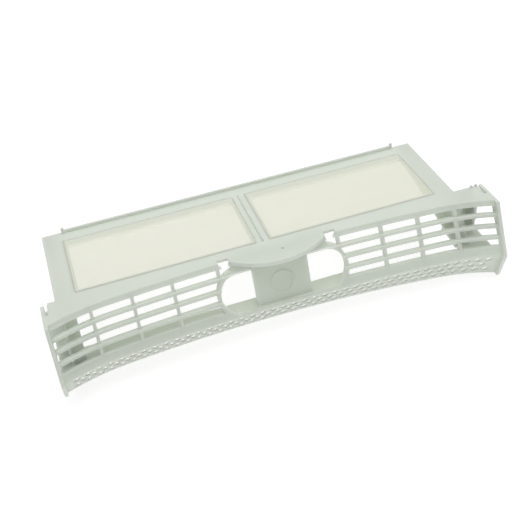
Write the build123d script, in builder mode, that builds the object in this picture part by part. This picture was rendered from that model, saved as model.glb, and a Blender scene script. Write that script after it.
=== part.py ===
"""Tumble dryer lint filter: one moulded frame and two panels of filter cloth.

X runs along the grille, Y from the grille to the rear lip and Z up. The origin is on
the deck's top, behind the middle of the grille, where the pocket joins the front strip.
"""
import os
from math import hypot

from build123d import *

os.makedirs("parts", exist_ok=True)

# Front strip and grille seen from above, in millimetres
front_width = 345.0
front_middle_y = -7.7
end_run = 46.0
knee_sag = 5.3
end_sag = 16.0

# Pocket behind the strip, which stands a little to the left of the grille
pocket_width = 310.0
pocket_depth = 78.0
pocket_offset = -6.9
deck_thick = 2.2
wall = 2.0
pocket_front_drop = 26.5
pocket_rear_drop = 6.0
flange_width = 10.5
pocket_setback = 5.0

# Two windows, the rib between them and the cloth that lies in a rebate round each
side_border = 15.0
front_border = 3.5
rear_border = 12.0
rib_width = 10.6
window_radius = 1.5
fin_thick = 1.2
fin_height = 1.4
cloth_thick = 0.6
cloth_recess = 0.15
cloth_seat = 2.5
cloth_clearance = 0.1

# Low lip along the rear edge, with a post at each end
rear_lip_width = 279.0
rear_lip_thick = 1.6
rear_lip_height = 2.3
post_width = 2.2
post_height = 4.4

# Grille: a rail under the deck, bars that step forward going down, and a sill
lean = 0.5
rail_drop = 4.0
rail_depth = 3.0
bar_count = 3
bar_pitch = 8.0
bar_height = 2.7
bar_depth = 3.5
sill_drop = 33.0
sill_height = 6.0
sill_depth = 3.0
columns = 4
mullion_width = 2.4
upright_depth = 4.0

# Chin under the sill, deepest at the right, with its staggered diamond holes
chin_left_height = 12.5
chin_middle_height = 13.4
chin_right_height = 23.5
chin_slope = 0.28
chin_thick = 2.0
diamond_columns = 40
diamond_margin = 11.0
diamond_width = 6.8
diamond_height = 4.4
diamond_levels = (0.24, 0.5, 0.76)

# Oval grip, its thumb plate and the lip over it
grip_half_width = 48.5
grip_half_height = 14.0
grip_wall = 2.8
grip_drop = 23.5
plate_width = 42.8
plate_offset = -1.4
plate_thick = 3.0
plate_top_y = -12.5
plate_foot_y = -24.5
lip_width = 74.0
lip_foot_y = -9.0
lip_reach_y = -22.8
lip_thick = 3.4
relief_width = 8.5
relief_height = 4.4
relief_rear = 5.0
thumb_ring_radius = 9.0
thumb_ring_width = 1.0
thumb_ring_rise = 0.5
thumb_ring_drop = 23.0

# Ledge behind the foot of the sill, which stops at the right end of the oval
ledge_drop = 37.0
ledge_rear_y = -13.5
ledge_thick = 2.0
corner_shelf_width = 24.0
corner_rib_depth = 14.0

# End walls and the slots that free them from the deck
end_wall = 2.6
end_rim = 2.5
end_wall_depth = 23.0
end_rim_depth = 6.0
end_arm_height = 3.0
end_slot_width = 2.0
end_slot_length = 12.0
end_slot_drop = 7.0
nub_size = 1.6
nub_spacing = 4.0

# Places that follow from those sizes
end_x = front_width / 2
end_inner_x = end_x - end_wall
knee_x = end_x - end_run
end_front_y = front_middle_y - end_sag
pocket_left = pocket_offset - pocket_width / 2
pocket_right = pocket_offset + pocket_width / 2
pocket_slope = (pocket_front_drop - pocket_rear_drop) / pocket_depth
window_width = (pocket_width - 2 * side_border - rib_width) / 2
window_depth = pocket_depth - front_border - rear_border
window_shift = (window_width + rib_width) / 2
window_y = front_border + window_depth / 2
crease_drop = sill_drop + sill_height
deepest_chin = max(chin_left_height, chin_middle_height, chin_right_height)
total_drop = crease_drop + deepest_chin
diamond_pitch = (front_width - 2 * diamond_margin) / (diamond_columns - 1)
shoulder_x = lip_width / 2
cloth_drop = cloth_recess + cloth_thick
grip_outer_width = 2 * (grip_half_width + grip_wall)
grip_outer_height = 2 * (grip_half_height + grip_wall)
column_pitch = (end_inner_x - grip_outer_width / 2) / columns
mullions = [grip_outer_width / 2 + column_pitch * i for i in range(1, columns)]
well_ahead = end_front_y - lean * crease_drop - end_wall_depth
brow_drop = grip_drop - grip_half_height
lean_down = (0, -lean, -1)
lean_length = hypot(1, lean)


def plan_curve(forward):
    """The grille's line in plan, moved forward of the deck's front edge."""
    y = front_middle_y - forward
    knee_y = y - knee_sag
    end_y = y - end_sag
    middle = ThreePointArc((-knee_x, knee_y), (0, y), (knee_x, knee_y))
    TangentArc((knee_x, knee_y), (end_x, end_y), tangent=middle % 1)
    TangentArc((-knee_x, knee_y), (-end_x, end_y), tangent=(middle % 0) * -1)


def plan_band(z, forward, depth):
    """A band of even depth behind the grille's line."""
    with BuildSketch(Plane.XY.offset(z)) as band:
        with BuildLine():
            plan_curve(forward)
            plan_curve(forward - depth)
            front_y = end_front_y - forward
            Line((-end_x, front_y), (-end_x, front_y + depth))
            Line((end_x, front_y), (end_x, front_y + depth))
        make_face()
    return band.sketch


def plan_region(z, forward, rear_y):
    """Everything from the grille's line back to a straight line across."""
    with BuildSketch(Plane.XY.offset(z)) as region:
        with BuildLine():
            plan_curve(forward)
            front_y = end_front_y - forward
            Polyline((-end_x, front_y), (-end_x, rear_y), (end_x, rear_y), (end_x, front_y))
        make_face()
    return region.sketch


def side_profile(x, points):
    """A face that stands across X, drawn as points of Y and Z."""
    with BuildSketch(Plane.YZ.offset(x)) as profile:
        with BuildLine():
            Polyline(*points, close=True)
        make_face()
    return profile.sketch


def pocket_drop(y):
    """How far the pocket's lower rim lies under the deck."""
    return pocket_front_drop - pocket_slope * y


def chin_height(x):
    """How deep the chin is at a place along it."""
    along = x / end_x
    tilt = (chin_right_height - chin_left_height) / 2
    arch = (chin_right_height + chin_left_height) / 2 - chin_middle_height
    return chin_middle_height + tilt * along + arch * along ** 2


# Grip ring and mullions: drawn from the front, then held to the leaning grille
with BuildPart() as uprights:
    with BuildSketch(Plane.XZ):
        with Locations((0, -grip_drop)):
            SlotOverall(grip_outer_width, grip_outer_height)
            SlotOverall(2 * grip_half_width, 2 * grip_half_height, mode=Mode.SUBTRACT)
        for x in mullions:
            with Locations((x, -crease_drop / 2), (-x, -crease_drop / 2)):
                Rectangle(mullion_width, crease_drop)
        # Brow over the oval, and a strut outside each of its shoulders
        with Locations((0, -brow_drop / 2)):
            Rectangle(2 * shoulder_x, brow_drop)
        strut_x = shoulder_x + relief_width + mullion_width / 2
        with Locations((strut_x, -brow_drop / 2), (-strut_x, -brow_drop / 2)):
            Rectangle(mullion_width, brow_drop)
    extrude(amount=-well_ahead)
    extrude(plan_band(0, 0, upright_depth), amount=crease_drop * lean_length, dir=lean_down,
            mode=Mode.INTERSECT)

# Chin: a thin curved wall that leans back, arched along its foot and pierced by diamonds
with BuildPart() as chin:
    extrude(plan_band(-crease_drop, lean * crease_drop, chin_thick),
            amount=deepest_chin * hypot(1, chin_slope), dir=(0, chin_slope, -1))
    with BuildSketch(Plane.XZ):
        with BuildLine():
            left_foot = (-end_x, -crease_drop - chin_left_height)
            middle_foot = (0, -crease_drop - chin_middle_height)
            right_foot = (end_x, -crease_drop - chin_right_height)
            ThreePointArc(left_foot, middle_foot, right_foot)
            Polyline(left_foot, (-end_x, 0), (end_x, 0), right_foot)
        make_face()
    extrude(amount=-well_ahead, mode=Mode.INTERSECT)
    with BuildSketch(Plane.XZ):
        half_w = diamond_width / 2
        half_h = diamond_height / 2
        for row, level in enumerate(diamond_levels):
            for column in range(diamond_columns - row % 2):
                x = (column + row % 2 / 2) * diamond_pitch - end_x + diamond_margin
                with Locations((x, -crease_drop - level * chin_height(x))):
                    Polygon((-half_w, 0), (0, -half_h), (half_w, 0), (0, half_h))
    extrude(amount=-well_ahead, mode=Mode.SUBTRACT)

# Pocket walls: sides with inward flanges, rear wall and the walls of the end hollows
with BuildPart() as pocket:
    for outer_x, inward in ((pocket_left, 1), (pocket_right, -1)):
        rear_foot = (pocket_depth, -pocket_rear_drop)
        front_foot = (well_ahead, -pocket_drop(well_ahead))
        extrude(side_profile(outer_x, [(pocket_depth, 0), rear_foot, front_foot, (well_ahead, 0)]),
                amount=wall * inward)
        rear_top = (pocket_depth, wall - pocket_rear_drop)
        front_top = (well_ahead, wall - pocket_drop(well_ahead))
        extrude(side_profile(outer_x, [rear_top, rear_foot, front_foot, front_top]),
                amount=flange_width * inward)
    hollows = ((-end_x, pocket_left), (pocket_right, end_inner_x))
    for left_x, right_x in hollows:
        with BuildSketch():
            with Locations(((left_x + right_x) / 2, -wall / 2)):
                Rectangle(right_x - left_x, wall)
        extrude(amount=-sill_drop)
    rib_x = (pocket_right + end_inner_x) / 2
    rib_points = [(0, 0), (-corner_rib_depth, 0), (-corner_rib_depth, -sill_drop), (0, -sill_drop)]
    extrude(side_profile(rib_x, rib_points), amount=wall)
    extrude(plan_region(0, -pocket_setback, pocket_depth + lean * total_drop),
            amount=total_drop * lean_length, dir=lean_down, mode=Mode.INTERSECT)

# Ledge behind the foot of the sill, up to the right end of the oval
with BuildPart() as ledge:
    extrude(plan_region(-ledge_drop, lean * ledge_drop, ledge_rear_y), amount=-ledge_thick)
    with BuildSketch(Plane.XY):
        with Locations(((grip_outer_width / 2 - end_inner_x) / 2, 0)):
            Rectangle(grip_outer_width / 2 + end_inner_x, -4 * well_ahead)
    extrude(amount=-total_drop, mode=Mode.INTERSECT)

# Shelves that floor the hollow at each end
with BuildPart() as shelves:
    extrude(plan_region(-sill_drop, lean * sill_drop, 0), amount=-ledge_thick)
    shelf_spans = (
        (-end_inner_x, pocket_left + wall),
        (mullions[-1], mullions[-1] + corner_shelf_width),
    )
    with BuildSketch(Plane.XY):
        for left_x, right_x in shelf_spans:
            with Locations(((left_x + right_x) / 2, 0)):
                Rectangle(right_x - left_x, -4 * well_ahead)
    extrude(amount=-total_drop, mode=Mode.INTERSECT)

# Whole moulding
with BuildPart() as filter_frame:
    extrude(plan_band(0, 0, rail_depth), amount=rail_drop * lean_length, dir=lean_down)
    for row in range(1, bar_count + 1):
        foot = rail_drop + row * bar_pitch
        extrude(plan_band(-foot, lean * foot, bar_depth), amount=bar_height)
    extrude(plan_band(-sill_drop, lean * sill_drop, sill_depth),
            amount=sill_height * lean_length, dir=lean_down)
    # The oval is clear of bars
    with BuildSketch(Plane.XZ):
        with Locations((0, -grip_drop)):
            SlotOverall(2 * grip_half_width, 2 * grip_half_height)
    extrude(amount=-well_ahead, mode=Mode.SUBTRACT)
    add(uprights.part)
    add(chin.part)
    add(pocket.part)
    add(ledge.part)
    add(shelves.part)

    # Deck: the front strip and the pocket's plate, with the two windows
    extrude(plan_region(0, 0, 0), amount=-deck_thick)
    with BuildSketch():
        with Locations((pocket_offset, pocket_depth / 2)):
            Rectangle(pocket_width, pocket_depth)
        with Locations((pocket_offset - window_shift, window_y), (pocket_offset + window_shift, window_y)):
            RectangleRounded(window_width - 2 * cloth_seat, window_depth - 2 * cloth_seat, window_radius,
                             mode=Mode.SUBTRACT)
    extrude(amount=-deck_thick)
    with BuildSketch():
        with Locations((pocket_offset - window_shift, window_y), (pocket_offset + window_shift, window_y)):
            Rectangle(window_width, window_depth)
    extrude(amount=-cloth_drop, mode=Mode.SUBTRACT)
    with BuildSketch():
        with Locations((pocket_offset, pocket_depth - wall / 2)):
            Rectangle(pocket_width, wall)
    extrude(amount=-pocket_rear_drop)

    # Fin on the rib, and the rear lip with its posts
    with BuildSketch():
        with Locations((pocket_offset, window_y)):
            Rectangle(fin_thick, window_depth)
    extrude(amount=fin_height)
    with BuildSketch():
        with Locations((pocket_offset, pocket_depth - rear_lip_thick / 2)):
            Rectangle(rear_lip_width, rear_lip_thick)
    extrude(amount=rear_lip_height)
    with BuildSketch():
        with Locations((pocket_offset, pocket_depth - rear_lip_thick / 2)):
            with GridLocations(rear_lip_width - post_width, 0, 2, 1):
                Rectangle(post_width, rear_lip_thick)
    extrude(amount=post_height)

    # Thumb plate, the lip that shades it and a plain ring to press on
    plate_points = [
        (plate_top_y, 0),
        (plate_foot_y, -crease_drop),
        (plate_foot_y + plate_thick, -crease_drop),
        (plate_top_y + plate_thick, 0),
    ]
    extrude(side_profile(plate_offset - plate_width / 2, plate_points), amount=plate_width)
    with BuildSketch():
        with BuildLine():
            ThreePointArc((shoulder_x, lip_foot_y), (0, lip_reach_y), (-shoulder_x, lip_foot_y))
            Polyline((-shoulder_x, lip_foot_y), (-shoulder_x, 0), (shoulder_x, 0), (shoulder_x, lip_foot_y))
        make_face()
    extrude(amount=-lip_thick)
    plate_run = (plate_foot_y - plate_top_y) / crease_drop
    ring_centre = (plate_offset, plate_top_y + plate_run * thumb_ring_drop, -thumb_ring_drop)
    plate_face = Plane(origin=ring_centre, x_dir=(1, 0, 0), z_dir=(0, -1, -plate_run))
    with BuildSketch(plate_face):
        Circle(thumb_ring_radius)
        Circle(thumb_ring_radius - thumb_ring_width, mode=Mode.SUBTRACT)
    extrude(amount=thumb_ring_rise)

    # A small relief opens the deck's edge over each shoulder of the oval
    with BuildSketch(Plane.XZ.offset(relief_rear)):
        for side in (-1, 1):
            Polygon(
                (side * shoulder_x, deck_thick),
                (side * (shoulder_x + relief_width), deck_thick),
                (side * (shoulder_x + relief_width), -deck_thick),
                (side * (shoulder_x + relief_width / 3), -deck_thick - relief_height),
                (side * shoulder_x, -deck_thick),
                align=None,
            )
    extrude(amount=-well_ahead, mode=Mode.SUBTRACT)

    # End walls, the slots beside them and two nubs on the strip's right end
    end_top_y = end_front_y - end_rim
    end_crease_y = end_top_y - lean * crease_drop
    for x, height in ((-end_x, chin_left_height), (end_inner_x, chin_right_height)):
        end_foot_y = end_crease_y + chin_slope * height
        end_points = [
            (end_top_y, 0),
            (end_crease_y, -crease_drop),
            (end_foot_y, -crease_drop - height),
            (end_foot_y + end_rim_depth, -crease_drop - height),
            (end_crease_y + end_rim_depth, -crease_drop),
            (end_top_y + end_rim_depth + lean * end_arm_height, -end_arm_height),
            (end_top_y + end_wall_depth, -end_arm_height),
            (end_top_y + end_wall_depth, 0),
        ]
        extrude(side_profile(x, end_points), amount=end_wall)
    slot_x = end_inner_x - end_slot_width / 2
    with BuildSketch():
        with Locations((-slot_x, -end_slot_length / 2), (slot_x, -end_slot_length / 2)):
            Rectangle(end_slot_width, end_slot_length)
        # The left arm stops short of the wall behind its hollow
        with Locations((-end_inner_x, -wall / 2)):
            Rectangle(2 * end_wall, wall)
    extrude(amount=-end_slot_drop, mode=Mode.SUBTRACT)
    with BuildSketch():
        with Locations((slot_x - end_slot_width - nub_spacing / 2, -nub_size / 2)):
            with GridLocations(nub_spacing, 0, 2, 1):
                Rectangle(nub_size, nub_size)
    extrude(amount=nub_size)
filter_frame.part.label = "filter_frame"
export_step(filter_frame.part, "parts/filter_frame.step")


def cloth_sketch(x):
    """Outline of one cloth panel, which fills the rebate of its window."""
    with BuildSketch(Plane.XY.offset(-cloth_recess)) as outline:
        with Locations((x, window_y)):
            Rectangle(window_width - 2 * cloth_clearance, window_depth - 2 * cloth_clearance)
    return outline.sketch


# Filter cloth, bonded to the seat round each window
with BuildPart() as left_mesh:
    extrude(cloth_sketch(pocket_offset - window_shift), amount=-cloth_thick)
left_mesh.part.label = "left_mesh"
export_step(left_mesh.part, "parts/left_mesh.step")

with BuildPart() as right_mesh:
    extrude(cloth_sketch(pocket_offset + window_shift), amount=-cloth_thick)
right_mesh.part.label = "right_mesh"
export_step(right_mesh.part, "parts/right_mesh.step")
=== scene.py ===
from math import pi, radians

import bmesh
import bpy
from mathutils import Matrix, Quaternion, Vector


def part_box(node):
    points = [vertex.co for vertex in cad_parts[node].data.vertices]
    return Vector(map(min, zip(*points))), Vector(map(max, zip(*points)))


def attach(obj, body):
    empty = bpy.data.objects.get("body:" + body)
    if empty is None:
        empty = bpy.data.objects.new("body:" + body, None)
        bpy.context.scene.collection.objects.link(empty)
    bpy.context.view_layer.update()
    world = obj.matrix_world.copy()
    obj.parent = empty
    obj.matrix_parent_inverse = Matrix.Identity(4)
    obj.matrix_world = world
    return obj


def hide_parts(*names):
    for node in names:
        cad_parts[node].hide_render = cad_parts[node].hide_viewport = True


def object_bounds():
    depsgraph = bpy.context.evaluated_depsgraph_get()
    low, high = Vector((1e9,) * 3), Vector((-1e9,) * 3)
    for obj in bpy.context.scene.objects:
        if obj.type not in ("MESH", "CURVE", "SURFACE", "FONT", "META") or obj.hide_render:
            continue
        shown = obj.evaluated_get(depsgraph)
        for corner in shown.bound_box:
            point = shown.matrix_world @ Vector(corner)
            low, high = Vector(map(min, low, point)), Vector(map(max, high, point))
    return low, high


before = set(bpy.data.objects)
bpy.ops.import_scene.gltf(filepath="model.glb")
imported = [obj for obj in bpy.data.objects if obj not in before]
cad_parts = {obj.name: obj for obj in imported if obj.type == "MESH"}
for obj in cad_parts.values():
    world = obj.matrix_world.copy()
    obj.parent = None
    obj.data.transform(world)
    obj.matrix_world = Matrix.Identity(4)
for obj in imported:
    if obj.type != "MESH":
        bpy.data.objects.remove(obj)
cad_low, cad_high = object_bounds()
scene = bpy.context.scene
scene.view_settings.view_transform = "Standard"


def srgb(red, green, blue):
    """A colour given in screen values, as the linear values that shaders take."""
    linear = []
    for value in (red, green, blue):
        v = value / 255
        linear.append(v / 12.92 if v <= 0.04045 else ((v + 0.055) / 1.055) ** 2.4)
    return (*linear, 1.0)


# All lengths are in metres, and each noise scale is in features per metre
UNIT = (0.0, 1.0)
WHITE = (1.0, 1.0, 1.0, 1.0)

# Plastic of the moulding, which light enters a little way
PLASTIC_DARK = srgb(214, 221, 210)
PLASTIC_LIGHT = srgb(221, 227, 217)
PLASTIC_CLOUD = 28.0
PLASTIC_GRAIN = 2600.0
PLASTIC_ROUGHNESS = (0.36, 0.52)
PLASTIC_SPECULAR = 0.45
GRAIN_HEIGHT = 0.00004
GRAIN_STRENGTH = 0.35
EDGE_RADIUS = 0.0003
EDGE_SAMPLES = 6
LIGHT_SHARE = 0.9
LIGHT_DEPTH = 0.005

# Gate mark on the deck
GATE_COLOUR = srgb(168, 178, 166)
GATE_PLACE = (0.0034, -0.0105, 0.0)
GATE_RADIUS = 0.0013
GATE_CORE_RADIUS = 0.4 * GATE_RADIUS

# Threads of the filter cloth, the gaps between them, and the bonded edge, whose darker colour is partly
# painted shade from the frame's walls, widest along the rear
THREAD_DARK = srgb(250, 252, 232)
THREAD_LIGHT = srgb(254, 255, 242)
THREAD_PITCH = 0.0006
THREAD_CLOUD = 35.0
THREAD_GRAIN = 1800.0
THREAD_ROUGHNESS = (0.7, 0.9)
THREAD_SPECULAR = 0.25
THREAD_HEIGHT = 0.00008
THREAD_STRENGTH = 0.5
GAP_EDGE = (0.93, 0.83)
GAP_COVER = 0.22
# painted shade: the edge colour is darker partly for the bonded hem and partly as painted shade from the
# frame's walls, with the rear band widest
HEM_AND_SHADE_COLOUR = srgb(234, 239, 224)
HEM_AND_SHADE_WIDTH = 0.003
REAR_HEM_AND_SHADE = 4.0

# Panels of cloth
CLOTH_THICK = 0.00012
CLOTH_SAG = 0.0004
CLOTH_REACH = 0.0001
CLOTH_RISE = 0.0001
CLOTH_STEP = 0.0015

# Floor: grey level and own light, first as other surfaces see it and then as the camera does
FLOOR_GREY = 0.8
FLOOR_BOUNCE = 0.38
FLOOR_SEEN_GREY = 0.4
FLOOR_SEEN_LIGHT = 0.76
FLOOR_ROUGHNESS = 0.9
FLOOR_HALF = 6.0
FLOOR_GAP = 0.0005

# Surroundings and the lamp overhead
WORLD_LIGHT = 0.33
LAMP_PLACE = Vector((0.1, 0.2, 1.6))
LAMP_SIZE = 1.6
LAMP_POWER = 17.5

# Camera, in the frame of the part
EYE = Vector((-0.1299, -0.4427, 0.3671))
AIM = Vector((-0.0147, -0.0233, 0.0))
ROLL = radians(-5.65)
PHOTO_SIZE = 530
FOCAL_PIXELS = 800
SENSOR = 36.0
NEAR_CLIP = 0.01


# Node helpers
def add_node(tree, kind, **settings):
    """A node with its properties set by name."""
    node = tree.nodes.new(kind)
    for name, value in settings.items():
        setattr(node, name, value)
    return node


def feed(tree, value, socket):
    """Links another node's output to a socket, or sets a plain value on it."""
    if isinstance(value, bpy.types.NodeSocket):
        tree.links.new(value, socket)
    else:
        socket.default_value = value


def math_node(tree, operation, *values):
    """One math node fed by outputs of other nodes or by plain numbers."""
    node = add_node(tree, "ShaderNodeMath", operation=operation)
    for socket, value in zip(node.inputs, values):
        feed(tree, value, socket)
    return node.outputs[0]


def map_range(tree, value, source, target, smooth=False):
    """A value brought from one range to another."""
    kind = "SMOOTHSTEP" if smooth else "LINEAR"
    node = add_node(tree, "ShaderNodeMapRange", interpolation_type=kind)
    feed(tree, value, node.inputs["Value"])
    for name, limit in zip(("From Min", "From Max", "To Min", "To Max"), (*source, *target)):
        node.inputs[name].default_value = limit
    return node.outputs["Result"]


def mix_colours(tree, factor, first, second):
    """A colour that goes from the first to the second as a factor goes from 0 to 1."""
    mix = add_node(tree, "ShaderNodeMix", data_type="RGBA")
    feed(tree, factor, mix.inputs["Factor"])
    feed(tree, first, mix.inputs["A"])
    feed(tree, second, mix.inputs["B"])
    return mix.outputs["Result"]


def new_group(name, inputs, outputs):
    """A shader node group that takes a vector and named numbers, and puts out named numbers."""
    group = bpy.data.node_groups.new(name, "ShaderNodeTree")
    group.interface.new_socket("Vector", in_out="INPUT", socket_type="NodeSocketVector")
    for socket_name in inputs:
        group.interface.new_socket(socket_name, in_out="INPUT", socket_type="NodeSocketFloat")
    for socket_name in outputs:
        group.interface.new_socket(socket_name, in_out="OUTPUT", socket_type="NodeSocketFloat")
    start = add_node(group, "NodeGroupInput")
    end = add_node(group, "NodeGroupOutput")
    return group, start, end


def place_group(tree, group, values):
    """A group node on object coordinates, with its own values."""
    coordinates = add_node(tree, "ShaderNodeTexCoord")
    node = add_node(tree, "ShaderNodeGroup", node_tree=group)
    tree.links.new(coordinates.outputs["Object"], node.inputs["Vector"])
    for name, value in values.items():
        node.inputs[name].default_value = value
    return node


def bump(tree, shader, height, distance, strength, edge_radius=0.0):
    """Fine relief on the shader's normal, over edges that are rounded by a radius."""
    node = add_node(tree, "ShaderNodeBump")
    if edge_radius:
        rounding = add_node(tree, "ShaderNodeBevel", samples=EDGE_SAMPLES)
        rounding.inputs["Radius"].default_value = edge_radius
        tree.links.new(rounding.outputs["Normal"], node.inputs["Normal"])
    node.inputs["Distance"].default_value = distance
    node.inputs["Strength"].default_value = strength
    tree.links.new(height, node.inputs["Height"])
    tree.links.new(node.outputs["Normal"], shader.inputs["Normal"])


# Effects that the materials are made of
def mottle_group():
    """Slow cloudy variation and fine grain, both from 0 to 1."""
    group, start, end = new_group("mottle", ["Cloud Scale", "Grain Scale"], ["Cloud", "Grain"])
    for label, detail in (("Cloud", 4.0), ("Grain", 2.0)):
        noise = add_node(group, "ShaderNodeTexNoise")
        noise.inputs["Detail"].default_value = detail
        group.links.new(start.outputs["Vector"], noise.inputs["Vector"])
        group.links.new(start.outputs[label + " Scale"], noise.inputs["Scale"])
        group.links.new(noise.outputs["Fac"], end.inputs[label])
    return group


def weave_group():
    """Plain weave of round threads: their height, and 1 in the gaps between them."""
    group, start, end = new_group("weave", ["Threads"], ["Height", "Gap"])
    split = add_node(group, "ShaderNodeSeparateXYZ")
    group.links.new(start.outputs["Vector"], split.inputs[0])
    waves = []
    for axis in ("X", "Y"):
        turns = math_node(group, "MULTIPLY", split.outputs[axis], start.outputs["Threads"])
        angle = math_node(group, "MULTIPLY", turns, pi)
        waves.append(math_node(group, "ABSOLUTE", math_node(group, "SINE", angle)))
    height = math_node(group, "MAXIMUM", *waves)
    group.links.new(height, end.inputs["Height"])
    group.links.new(map_range(group, height, GAP_EDGE, UNIT), end.inputs["Gap"])
    return group


MOTTLE = mottle_group()
WEAVE = weave_group()


def gate_mark(tree):
    """A small round scar on the deck's top, where the plastic entered the mould."""
    coordinates = add_node(tree, "ShaderNodeTexCoord")
    distance = add_node(tree, "ShaderNodeVectorMath", operation="DISTANCE")
    distance.inputs[1].default_value = GATE_PLACE
    tree.links.new(coordinates.outputs["Object"], distance.inputs[0])
    return map_range(tree, distance.outputs["Value"], (GATE_RADIUS, GATE_CORE_RADIUS), UNIT, smooth=True)


def hem_and_shade(tree):
    """From 0 in the open cloth to 1 at its bonded edge, a band that also carries painted shade, with the
    widest band along the rear.
    """
    low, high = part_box("left_mesh")
    coordinates = add_node(tree, "ShaderNodeTexCoord")
    split = add_node(tree, "ShaderNodeSeparateXYZ")
    tree.links.new(coordinates.outputs["Generated"], split.inputs[0])
    edges = []
    for axis, size, far_hem in (("X", high.x - low.x, 1.0), ("Y", high.y - low.y, REAR_HEM_AND_SHADE)):
        near = math_node(tree, "MULTIPLY", split.outputs[axis], size)
        far = math_node(tree, "DIVIDE", math_node(tree, "SUBTRACT", size, near), far_hem)
        edges.append(math_node(tree, "MINIMUM", near, far))
    nearest = math_node(tree, "MINIMUM", *edges)
    return map_range(tree, nearest, (HEM_AND_SHADE_WIDTH, 0.0), UNIT, smooth=True)


# Materials
def new_material(name):
    """A material with an empty Principled surface, returned with its tree and shader."""
    material = bpy.data.materials.new(name)
    material.use_nodes = True
    tree = material.node_tree
    return material, tree, tree.nodes["Principled BSDF"]


def frame_plastic():
    """Pale grey-green moulded plastic with a fine satin grain."""
    material, tree, shader = new_material("frame_plastic")
    mottle = place_group(tree, MOTTLE, {"Cloud Scale": PLASTIC_CLOUD, "Grain Scale": PLASTIC_GRAIN})
    grain = mottle.outputs["Grain"]
    colour = mix_colours(tree, mottle.outputs["Cloud"], PLASTIC_DARK, PLASTIC_LIGHT)
    marked = mix_colours(tree, gate_mark(tree), colour, GATE_COLOUR)
    tree.links.new(marked, shader.inputs["Base Color"])
    tree.links.new(map_range(tree, grain, UNIT, PLASTIC_ROUGHNESS), shader.inputs["Roughness"])
    shader.inputs["Specular IOR Level"].default_value = PLASTIC_SPECULAR
    shader.inputs["Subsurface Weight"].default_value = LIGHT_SHARE
    shader.inputs["Subsurface Radius"].default_value = (1.0, 1.0, 1.0)
    shader.inputs["Subsurface Scale"].default_value = LIGHT_DEPTH
    bump(tree, shader, grain, GRAIN_HEIGHT, GRAIN_STRENGTH, EDGE_RADIUS)
    return material


def filter_cloth():
    """Ivory woven filter cloth, open between its threads and soaked with plastic along its edge, where a
    darker colour also paints the shade of the frame's walls.
    """
    material, tree, shader = new_material("filter_cloth")
    mottle = place_group(tree, MOTTLE, {"Cloud Scale": THREAD_CLOUD, "Grain Scale": THREAD_GRAIN})
    weave = place_group(tree, WEAVE, {"Threads": 1 / THREAD_PITCH})
    thread = mix_colours(tree, mottle.outputs["Cloud"], THREAD_DARK, THREAD_LIGHT)
    # the edge band is both the bonded hem and painted shade: darker along the cloth's edges and widest
    # at the rear
    bonded_and_shaded = hem_and_shade(tree)
    tree.links.new(mix_colours(tree, bonded_and_shaded, thread, HEM_AND_SHADE_COLOUR), shader.inputs["Base Color"])
    free = math_node(tree, "SUBTRACT", 1.0, bonded_and_shaded)
    gap = math_node(tree, "MULTIPLY", weave.outputs["Gap"], free)
    tree.links.new(map_range(tree, gap, UNIT, (1.0, GAP_COVER)), shader.inputs["Alpha"])
    roughness = map_range(tree, mottle.outputs["Grain"], UNIT, THREAD_ROUGHNESS)
    tree.links.new(roughness, shader.inputs["Roughness"])
    shader.inputs["Specular IOR Level"].default_value = THREAD_SPECULAR
    bump(tree, shader, weave.outputs["Height"], THREAD_HEIGHT, THREAD_STRENGTH)
    return material


PLASTIC = frame_plastic()
CLOTH = filter_cloth()


# Pieces of the filter
def link(piece):
    """Puts a new object into the scene."""
    scene.collection.objects.link(piece)
    return piece


def dress_frame():
    """The moulded frame keeps its own mesh and takes the plastic."""
    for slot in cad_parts["filter_frame"].material_slots:
        slot.material = PLASTIC


def cloth_mesh(name, low, width, depth, top):
    """A fine grid from its lowest corner, at the top height along its edges and lowest in the middle."""
    columns = round(width / CLOTH_STEP)
    rows = round(depth / CLOTH_STEP)
    work = bmesh.new()
    bmesh.ops.create_grid(work, x_segments=columns, y_segments=rows, size=0.5)
    for vert in work.verts:
        across = 1 - (2 * vert.co.x) ** 4
        along = 1 - (2 * vert.co.y) ** 4
        vert.co.x = low.x + (vert.co.x + 0.5) * width
        vert.co.y = low.y + (vert.co.y + 0.5) * depth
        vert.co.z = top - CLOTH_SAG * (across * along) ** 2
    mesh = bpy.data.meshes.new(name)
    work.to_mesh(mesh)
    work.free()
    for face in mesh.polygons:
        face.use_smooth = True
    mesh.materials.append(CLOTH)
    return mesh


def cloth_panel(node):
    """One panel of cloth, stretched over its seat up to the rebate's walls, with a trace of sag."""
    reach = Vector((CLOTH_REACH, CLOTH_REACH, 0))
    low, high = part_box(node)
    low = Vector(low) - reach
    high = Vector(high) + reach
    width = high.x - low.x
    depth = high.y - low.y
    name = node + "_cloth"
    mesh = cloth_mesh(name, low, width, depth, high.z + CLOTH_RISE)
    piece = link(bpy.data.objects.new(name, mesh))
    thickness = piece.modifiers.new("thickness", "SOLIDIFY")
    thickness.thickness = CLOTH_THICK
    thickness.offset = -1
    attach(piece, "root")
    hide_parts(node)


# Floor, light and camera
def seen_directly(tree):
    """1 for what the camera sees, itself or in a reflection or through a clear piece."""
    path = add_node(tree, "ShaderNodeLightPath")
    mirrored = math_node(tree, "MAXIMUM", path.outputs["Is Camera Ray"], path.outputs["Is Glossy Ray"])
    return math_node(tree, "MAXIMUM", mirrored, path.outputs["Is Transmission Ray"])


def matt_white(shader, grey, light):
    """Makes a surface matt, of one grey level, with some white light of its own."""
    shader.inputs["Base Color"].default_value = (grey, grey, grey, 1.0)
    shader.inputs["Roughness"].default_value = FLOOR_ROUGHNESS
    shader.inputs["Specular IOR Level"].default_value = 0.0
    shader.inputs["Emission Color"].default_value = WHITE
    shader.inputs["Emission Strength"].default_value = light


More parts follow.
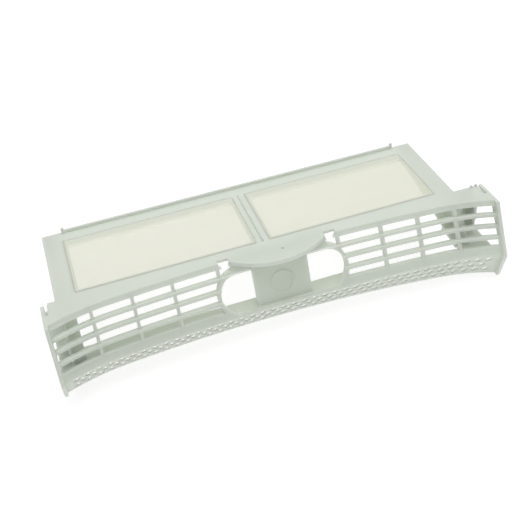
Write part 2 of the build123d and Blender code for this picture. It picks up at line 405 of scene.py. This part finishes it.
def floor_white():
    """Pale floor that lights the part from below, and that the camera sees as nearly white."""
    material, tree, shader = new_material("floor_white")
    matt_white(shader, FLOOR_GREY, FLOOR_BOUNCE)
    seen = add_node(tree, "ShaderNodeBsdfPrincipled")
    matt_white(seen, FLOOR_SEEN_GREY, FLOOR_SEEN_LIGHT)
    mix = add_node(tree, "ShaderNodeMixShader")
    tree.links.new(seen_directly(tree), mix.inputs["Fac"])
    tree.links.new(shader.outputs[0], mix.inputs[1])
    tree.links.new(seen.outputs[0], mix.inputs[2])
    tree.links.new(mix.outputs[0], tree.nodes["Material Output"].inputs["Surface"])
    return material


def floor():
    """A wide floor just under the part, which keeps its soft shadow."""
    half = FLOOR_HALF
    corners = [(-half, -half, 0), (half, -half, 0), (half, half, 0), (-half, half, 0)]
    mesh = bpy.data.meshes.new("floor")
    mesh.from_pydata(corners, [], [(0, 1, 2, 3)])
    mesh.materials.append(floor_white())
    piece = link(bpy.data.objects.new("floor", mesh))
    piece.location.z = cad_low.z - FLOOR_GAP


def surroundings():
    """Even white surroundings, seen as plain white."""
    world = bpy.data.worlds.new("studio")
    scene.world = world
    world.use_nodes = True
    tree = world.node_tree
    background = tree.nodes["Background"]
    background.inputs["Color"].default_value = WHITE
    level = map_range(tree, seen_directly(tree), UNIT, (WORLD_LIGHT, 1.0))
    tree.links.new(level, background.inputs["Strength"])


def top_lamp():
    """A wide soft lamp over the part, pointed at its origin."""
    lamp = bpy.data.lights.new("top_lamp", "AREA")
    lamp.size = LAMP_SIZE
    lamp.energy = LAMP_POWER
    piece = link(bpy.data.objects.new("top_lamp", lamp))
    piece.location = LAMP_PLACE
    piece.rotation_euler = (-LAMP_PLACE).to_track_quat("-Z", "Y").to_euler()


def camera():
    """The photograph's view."""
    data = bpy.data.cameras.new("photo_camera")
    data.sensor_width = SENSOR
    data.lens = SENSOR * FOCAL_PIXELS / PHOTO_SIZE
    data.clip_start = NEAR_CLIP
    piece = link(bpy.data.objects.new("photo_camera", data))
    piece.location = EYE
    turn = (AIM - EYE).to_track_quat("-Z", "Y")
    roll = Quaternion((0, 0, 1), ROLL)
    piece.rotation_mode = "QUATERNION"
    piece.rotation_quaternion = turn @ roll
    scene.camera = piece


dress_frame()
cloth_panel("left_mesh")
cloth_panel("right_mesh")
floor()
surroundings()
top_lamp()
camera()
